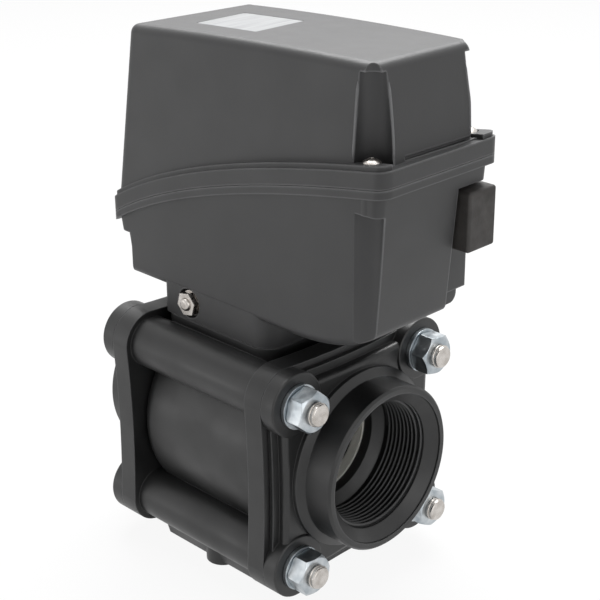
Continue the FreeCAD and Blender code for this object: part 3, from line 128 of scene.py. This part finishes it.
def floor():
    """Large pale floor that keeps a faint shadow under the foot."""
    mesh = bpy.data.meshes.new("studio_floor")
    half = 4.0
    corners = [(-half, -half, 0), (half, -half, 0), (half, half, 0), (-half, half, 0)]
    mesh.from_pydata(corners, [], [(0, 1, 2, 3)])
    ground = bpy.data.objects.new("studio_floor", mesh)
    bpy.context.collection.objects.link(ground)
    material = bpy.data.materials.new("studio_floor")
    material.use_nodes = True
    tree = material.node_tree
    diffuse = tree.nodes["Principled BSDF"]
    diffuse.inputs["Base Color"].default_value = (0.86, 0.86, 0.86, 1)
    diffuse.inputs["Roughness"].default_value = 0.9
    diffuse.inputs["Specular IOR Level"].default_value = 0.0
    glow = tree.nodes.new("ShaderNodeEmission")
    glow.inputs["Color"].default_value = (1, 1, 1, 1)
    share = tree.nodes.new("ShaderNodeMath")
    share.operation = "MULTIPLY"
    share.inputs[1].default_value = FLOOR_GLOW
    tree.links.new(seen_directly(tree), share.inputs[0])
    mix = tree.nodes.new("ShaderNodeMixShader")
    tree.links.new(share.outputs[0], mix.inputs[0])
    tree.links.new(diffuse.outputs[0], mix.inputs[1])
    tree.links.new(glow.outputs[0], mix.inputs[2])
    tree.links.new(mix.outputs[0], tree.nodes["Material Output"].inputs["Surface"])
    mesh.materials.append(material)


# ---- materials -----------------------------------------------------------------------------------
class Shader:
    """A principled material whose colour, roughness and relief vary over the surface."""

    def __init__(self, name, metallic, specular):
        self.material = bpy.data.materials.new(name)
        self.material.use_nodes = True
        self.tree = self.material.node_tree
        self.bsdf = self.tree.nodes["Principled BSDF"]
        self.bsdf.inputs["Metallic"].default_value = metallic
        self.bsdf.inputs["Specular IOR Level"].default_value = specular
        self.place = self.tree.nodes.new("ShaderNodeTexCoord").outputs["Object"]
        self.height = None

    def node(self, kind, **inputs):
        made = self.tree.nodes.new(kind)
        for key, value in inputs.items():
            made.inputs[key.replace("_", " ")].default_value = value
        return made

    def link(self, source, target):
        self.tree.links.new(source, target)

    def noise(self, scale, detail, stretch=None):
        made = self.node("ShaderNodeTexNoise", Scale=scale, Detail=detail)
        source = self.place
        if stretch:
            mapping = self.tree.nodes.new("ShaderNodeMapping")
            mapping.inputs["Scale"].default_value = stretch
            self.link(self.place, mapping.inputs["Vector"])
            source = mapping.outputs[0]
        self.link(source, made.inputs["Vector"])
        return made.outputs["Fac"]

    def spread(self, factor, low, high):
        made = self.tree.nodes.new("ShaderNodeMapRange")
        made.inputs["From Min"].default_value = NOISE_LOW
        made.inputs["From Max"].default_value = NOISE_HIGH
        made.inputs["To Min"].default_value = low
        made.inputs["To Max"].default_value = high
        self.link(factor, made.inputs["Value"])
        return made.outputs[0]

    def colours(self, factor, dark, light):
        ramp = self.tree.nodes.new("ShaderNodeValToRGB")
        ramp.color_ramp.elements[0].position = NOISE_LOW
        ramp.color_ramp.elements[0].color = (*dark, 1)
        ramp.color_ramp.elements[1].position = NOISE_HIGH
        ramp.color_ramp.elements[1].color = (*light, 1)
        self.link(factor, ramp.inputs["Fac"])
        return ramp.outputs["Color"]

    def base(self, colour):
        self.link(colour, self.bsdf.inputs["Base Color"])

    def rough(self, value):
        self.link(value, self.bsdf.inputs["Roughness"])

    def relief(self, factor, distance, strength):
        bump = self.node("ShaderNodeBump", Distance=distance, Strength=strength)
        self.link(factor, bump.inputs["Height"])
        if self.height:
            self.link(self.height, bump.inputs["Normal"])
        self.height = bump.outputs["Normal"]
        self.link(self.height, self.bsdf.inputs["Normal"])

    def worn_edges(self, colour, reach, gain):
        """The colour, up to gain times lighter at outward edges, as a painted highlight along them.

        The reach is less than the wall, so that only edges count as thin.
        """
        inside = self.node("ShaderNodeAmbientOcclusion", Distance=reach)
        inside.inside = True
        inside.samples = 8
        lift = self.tree.nodes.new("ShaderNodeMapRange")
        self.link(inside.outputs["AO"], lift.inputs["Value"])
        for key, value in (("From Min", 0.35), ("From Max", 0.85), ("To Min", gain), ("To Max", 1.0)):
            lift.inputs[key].default_value = value
        scale = self.tree.nodes.new("ShaderNodeVectorMath")
        scale.operation = "SCALE"
        self.link(colour, scale.inputs[0])
        self.link(lift.outputs["Result"], scale.inputs["Scale"])
        return scale.outputs["Vector"]

    def soft_edges(self, radius):
        """Shade the edges as if they were rounded; comes before any relief."""
        bevel = self.tree.nodes.new("ShaderNodeBevel")
        bevel.samples = 6
        bevel.inputs["Radius"].default_value = radius
        self.height = bevel.outputs["Normal"]
        self.link(self.height, self.bsdf.inputs["Normal"])


def housing_plastic(shader):
    shader.soft_edges(0.0007)
    plain = shader.colours(shader.noise(9, 4), (0.040, 0.040, 0.041), (0.050, 0.050, 0.051))
    # The base colour carries a painted highlight, up to 4.2 times lighter, along the outward edges.
    shader.base(shader.worn_edges(plain, 0.0011, 4.2))
    shader.rough(shader.spread(shader.noise(60, 4), 0.45, 0.50))
    shader.relief(shader.noise(1500, 2), 0.00006, 0.7)
    shader.relief(shader.noise(3400, 1), 0.00003, 0.5)


def valve_plastic(shader):
    shader.soft_edges(0.0006)
    plain = shader.colours(shader.noise(14, 5), (0.008, 0.0081, 0.0083), (0.014, 0.0142, 0.0145))
    # The base colour carries a painted highlight, up to 6 times lighter, along the outward edges.
    shader.base(shader.worn_edges(plain, 0.0011, 6.0))
    shader.rough(shader.spread(shader.noise(45, 6), 0.36, 0.52))
    shader.relief(shader.noise(120, 4), 0.00012, 0.5)
    shader.relief(shader.noise(1300, 3), 0.00003, 0.6)


def ball_plastic(shader):
    shader.base(shader.colours(shader.noise(30, 4), (0.02, 0.02, 0.02), (0.035, 0.035, 0.035)))
    shader.rough(shader.spread(shader.noise(90, 4), 0.16, 0.28))
    shader.relief(shader.noise(400, 3), 0.00001, 0.4)


def seat_polymer(shader):
    shader.base(shader.colours(shader.noise(80, 4), (0.74, 0.73, 0.66), (0.84, 0.83, 0.77)))
    shader.rough(shader.spread(shader.noise(150, 3), 0.30, 0.42))
    shader.relief(shader.noise(900, 2, (0.2, 1, 1)), 0.00002, 0.5)


def seal_rubber(shader):
    shader.base(shader.colours(shader.noise(200, 3), (0.010, 0.010, 0.010), (0.020, 0.020, 0.020)))
    shader.rough(shader.spread(shader.noise(300, 3), 0.45, 0.6))
    shader.relief(shader.noise(2000, 2), 0.00002, 0.5)


def cap_rubber(shader):
    shader.soft_edges(0.0004)
    shader.base(shader.colours(shader.noise(120, 5), (0.030, 0.027, 0.025), (0.048, 0.044, 0.041)))
    shader.rough(shader.spread(shader.noise(260, 4), 0.55, 0.72))
    shader.relief(shader.noise(900, 4), 0.00006, 0.6)


def stainless(shader):
    shader.soft_edges(0.0003)
    shader.base(shader.colours(shader.noise(260, 4), (0.44, 0.41, 0.38), (0.60, 0.57, 0.54)))
    shader.rough(shader.spread(shader.noise(500, 4), 0.20, 0.34))
    shader.relief(shader.noise(1400, 2, (1, 0.3, 1)), 0.00002, 0.4)


def zinc(shader):
    shader.soft_edges(0.0004)
    shader.base(shader.colours(shader.noise(160, 5), (0.33, 0.37, 0.40), (0.56, 0.59, 0.61)))
    shader.rough(shader.spread(shader.noise(420, 5), 0.28, 0.40))
    shader.relief(shader.noise(700, 4), 0.00003, 0.5)


def plain_steel(shader):
    shader.base(shader.colours(shader.noise(120, 5), (0.42, 0.42, 0.43), (0.56, 0.56, 0.57)))
    shader.rough(shader.spread(shader.noise(400, 4), 0.28, 0.42))
    shader.relief(shader.noise(900, 3, (1, 6, 1)), 0.00002, 0.4)


def brass(shader):
    shader.base(shader.colours(shader.noise(180, 4), (0.56, 0.40, 0.16), (0.72, 0.55, 0.26)))
    shader.rough(shader.spread(shader.noise(400, 3), 0.22, 0.36))
    shader.relief(shader.noise(1200, 2), 0.00002, 0.4)


def bush_bronze(shader):
    shader.base(shader.colours(shader.noise(600, 4), (0.36, 0.22, 0.10), (0.52, 0.36, 0.18)))
    shader.rough(shader.spread(shader.noise(800, 3), 0.4, 0.55))
    shader.relief(shader.noise(2400, 2), 0.00003, 0.6)


def gear_nylon(shader):
    shader.base(shader.colours(shader.noise(50, 4), (0.66, 0.63, 0.55), (0.76, 0.74, 0.66)))
    shader.rough(shader.spread(shader.noise(200, 3), 0.32, 0.45))
    shader.relief(shader.noise(700, 2), 0.00002, 0.4)


def magnet_grey(shader):
    shader.base(shader.colours(shader.noise(500, 4), (0.06, 0.06, 0.065), (0.11, 0.11, 0.115)))
    shader.rough(shader.spread(shader.noise(500, 3), 0.5, 0.65))
    shader.relief(shader.noise(1500, 3), 0.00004, 0.6)


def chip_black(shader):
    shader.base(shader.colours(shader.noise(900, 3), (0.014, 0.014, 0.014), (0.024, 0.024, 0.024)))
    shader.rough(shader.spread(shader.noise(900, 3), 0.45, 0.6))
    shader.relief(shader.noise(3000, 2), 0.00002, 0.5)


def board_green(shader):
    shader.base(shader.colours(shader.noise(220, 5), (0.010, 0.10, 0.035), (0.020, 0.16, 0.06)))
    shader.rough(shader.spread(shader.noise(300, 3), 0.25, 0.38))
    shader.relief(shader.noise(700, 3), 0.00002, 0.5)


def relay_blue(shader):
    shader.base(shader.colours(shader.noise(80, 4), (0.02, 0.07, 0.26), (0.035, 0.10, 0.34)))
    shader.rough(shader.spread(shader.noise(200, 3), 0.3, 0.42))
    shader.relief(shader.noise(900, 2), 0.00002, 0.4)


def terminal_green(shader):
    shader.base(shader.colours(shader.noise(80, 4), (0.02, 0.22, 0.08), (0.035, 0.30, 0.12)))
    shader.rough(shader.spread(shader.noise(200, 3), 0.35, 0.5))
    shader.relief(shader.noise(900, 2), 0.00002, 0.4)


def label_silver(shader):
    """Blank satin plate, brushed along Y."""
    brush = (1, 0.04, 1)
    shader.base(shader.colours(shader.noise(700, 3, brush), (0.23, 0.235, 0.24), (0.29, 0.295, 0.30)))
    shader.rough(shader.spread(shader.noise(900, 3, brush), 0.42, 0.55))
    shader.relief(shader.noise(1800, 2, brush), 0.00001, 0.4)


FINISHES = (
    housing_plastic, valve_plastic, ball_plastic, seat_polymer, seal_rubber, cap_rubber, stainless, zinc,
    plain_steel, brass, bush_bronze, gear_nylon, magnet_grey, chip_black, board_green, relay_blue,
    terminal_green, label_silver,
)
METALLIC = {
    "stainless": 1.0, "zinc": 1.0, "plain_steel": 1.0, "brass": 1.0, "bush_bronze": 1.0,
    "label_silver": 0.2,
}
PLAIN_SHEEN = 0.5       # specular level of all the slots that SHEEN doesn't name
SHEEN = {"housing_plastic": 0.44, "valve_plastic": 0.55}


def make_materials():
    """One material for each slot, made by the function of the slot's name."""
    made = {}
    for paint in FINISHES:
        slot = paint.__name__
        shader = Shader(slot, METALLIC.get(slot, 0.0), SHEEN.get(slot, PLAIN_SHEEN))
        paint(shader)
        made[slot] = shader.material
    return made


def dress_nodes(materials):
    """Give every CAD node the material of its slot."""
    slots = {part["node"]: part["material_slot"] for part in frame["record"]["subparts"]}
    for name, thing in frame["nodes"].items():
        thing.data.materials.clear()
        thing.data.materials.append(materials[slots[name]])


# ---- pieces --------------------------------------------------------------------------------------
def piece_from(name, points, faces, slot, materials):
    """A smooth piece of the main body, made from its points and faces."""
    mesh = bpy.data.meshes.new(name)
    mesh.from_pydata(points, [], faces)
    mesh.update()
    for polygon in mesh.polygons:
        polygon.use_smooth = True
    thing = bpy.data.objects.new(name, mesh)
    bpy.context.collection.objects.link(thing)
    mesh.materials.append(materials[slot])
    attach(thing, MAIN)


def joined(parts):
    """Points and faces of several parts as those of one piece."""
    points, faces = [], []
    for more, sides in parts:
        faces += [tuple(len(points) + k for k in side) for side in sides]
        points += more
    return points, faces


def helix(x0, x1, pitch, section, steps=72, fade=0.5, centre=(0.0, AXIS)):
    """Points and faces of a thread ridge about an axis along X.

    Each point of the section is (along, radius, base radius), and the ridge fades to its base at both ends.
    """
    turns = (x1 - x0) / pitch
    total = int(turns * steps)
    points, faces = [], []
    width = len(section)
    for i in range(total + 1):
        angle = 2 * math.pi * i / steps
        here = x0 + pitch * i / steps
        grow = min(1.0, i / (steps * fade), (total - i) / (steps * fade))
        for along, radius, base in section:
            r = base + (radius - base) * grow
            points.append((here + along * (0.25 + 0.75 * grow), centre[0] + r * math.cos(angle),
                           centre[1] + r * math.sin(angle)))
    for i in range(total):
        for k in range(width - 1):
            a = i * width + k
            faces.append((a, a + 1, a + width + 1, a + width))
        a = i * width
        faces.append((a + width - 1, a, a + width, a + 2 * width - 1))
    faces.append(tuple(range(width))[::-1])
    faces.append(tuple(total * width + k for k in range(width)))
    return points, faces


def port_threads(materials):
    """G 2 thread ridges inside both ports, 11 turns to the inch."""
    wall = PORT["dims"]["r_mm"] * MM
    half = PORT["dims"]["length_mm"] * MM / 2
    pitch = 0.0254 / 11
    crest = wall - 0.64 * pitch     # the depth of a pipe thread is 0.64 of its pitch
    base = wall + 0.0002
    section = [
        (-0.50 * pitch, base, base), (-0.14 * pitch, crest + 0.0002, base), (-0.06 * pitch, crest, base),
        (0.06 * pitch, crest, base), (0.14 * pitch, crest + 0.0002, base), (0.50 * pitch, base, base),
    ]
    x = PORT["pos_m"][0]
    points, faces = helix(x - half + pitch * 0.6, x + half - pitch * 0.4, pitch, section)
    piece_from("port_thread_outlet", points, faces, "valve_plastic", materials)
    turned = [(-px, -py, pz) for px, py, pz in points]
    piece_from("port_thread_inlet", turned, faces, "valve_plastic", materials)


def bolt_end_threads(materials):
    """M10 thread ridges on the bolt ends that stand out of the nuts."""
    pitch, radius, washer_r = 0.0015, 0.005, 0.010
    bolt_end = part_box("body_bolts")[1][0]
    nut_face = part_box("body_nuts")[1][0]
    (_, y0, z0), (_, y1, z1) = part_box("body_washers")
    root, crest = radius - 0.0001, radius + 0.0004
    section = [
        (-0.45 * pitch, root, root), (-0.08 * pitch, crest, root),
        (0.08 * pitch, crest, root), (0.45 * pitch, root, root),
    ]
    start, end = nut_face + 0.0002, bolt_end - 0.0009
    ridges = []
    for y in (y0 + washer_r, y1 - washer_r):
        for z in (z0 + washer_r, z1 - washer_r):
            ridges.append(helix(start, end, pitch, section, steps=40, fade=0.25, centre=(y, z)))
    piece_from("bolt_end_threads", *joined(ridges), "stainless", materials)


def on_surface(thing, start, direction):
    """Point where a ray from outside first meets a CAD node, or None."""
    inverse = thing.matrix_world.inverted()
    aim = (inverse.to_3x3() @ Vector(direction)).normalized()
    hit, point, _, _ = thing.ray_cast(inverse @ Vector(start), aim)
    return thing.matrix_world @ point if hit else None


def channel_edge(thing, axis, side, along_x, z):
    """Point on the flat wall just beside a corner channel, found by stepping towards the screw axis.

    The wall is the long one where along_x holds, and the outlet end's otherwise. The channel begins
    where the surface lies deeper than the wall by more than drop.
    """
    reach, step, drop, beside, away = 0.0115, 0.00005, 0.00035, 0.0004, 0.09
    wall = None
    for k in range(int(reach / step)):
        back = reach - k * step
        if along_x:
            here = on_surface(thing, (axis[0] - back, side * away, z), (0, -side, 0))
            depth = side * here.y if here else 0.0
        else:
            here = on_surface(thing, (axis[0] + away, side * (axis[1] - back), z), (-1, 0, 0))
            depth = here.x if here else 0.0
        if wall is None:
            flat, wall = depth, here
        if depth < flat - drop:
            if along_x:
                return Vector((axis[0] - back - beside, wall.y, z))
            return Vector((wall.x, side * (axis[1] - back - beside), z))
    return None


def tube(path, radius, around=8):
    """Points and faces of a round bead along a rising path, thinner and closed at both ends."""
    points, faces = [], []
    last = len(path) - 1
    guide = Vector((1, 1, 0.2))     # never along the path, so that the cross products hold
    tip, taper = 0.3, 0.35          # share of the radius at the ends, and what each step inwards adds
    for i, place in enumerate(path):
        ahead = (path[min(i + 1, last)] - path[max(i - 1, 0)]).normalized()
        across = ahead.cross(guide).normalized()
        up = ahead.cross(across)
        share = min(1.0, tip + taper * min(i, last - i))
        for k in range(around):
            angle = 2 * math.pi * k / around
            points.append(tuple(place + (across * math.cos(angle) + up * math.sin(angle)) * radius * share))
    for i in range(last):
        for k in range(around):
            a, b = i * around + k, i * around + (k + 1) % around
            faces.append((a, a + around, b + around, b))
    faces.append(tuple(range(around)))
    faces.append(tuple(last * around + k for k in range(around))[::-1])
    return points, faces


def smoothed(path):
    """The path with each inner point drawn towards its neighbours."""
    inner = [(path[i - 1] + path[i] * 2 + path[i + 1]) / 4 for i in range(1, len(path) - 1)]
    return [path[0]] + inner + [path[-1]]


def channel_beads(materials):
    """Raised beads along the edges of the outlet corner channels of the cover.

    Each runs from just below the top of the screw's head to a little under the top of the cover.
    """
    cover = bpy.data.objects["actuator_cover"]
    head_r, bead_r, rows, fewest = 0.0036, 0.0005, 22, 4
    x1, y1, head_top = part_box("cover_screws")[1]
    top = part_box("actuator_cover")[1][2]
    axis = (x1 - head_r, y1 - head_r)
    low, high = head_top - 0.0016, top - 0.0075
    heights = [low + (high - low) * row / (rows - 1) for row in range(rows)]
    beads = []
    for side in (-1, 1):
        for along_x in (True, False):
            places = [channel_edge(cover, axis, side, along_x, z) for z in heights]
            path = [place for place in places if place is not None]
            if len(path) >= fewest:
                beads.append(tube(smoothed(smoothed(path)), bead_r))
    piece_from("channel_beads", *joined(beads), "housing_plastic", materials)


bpy.context.scene.view_settings.view_transform = "Standard"
camera()
studio()
floor()
palette = make_materials()
dress_nodes(palette)
port_threads(palette)
bolt_end_threads(palette)
channel_beads(palette)
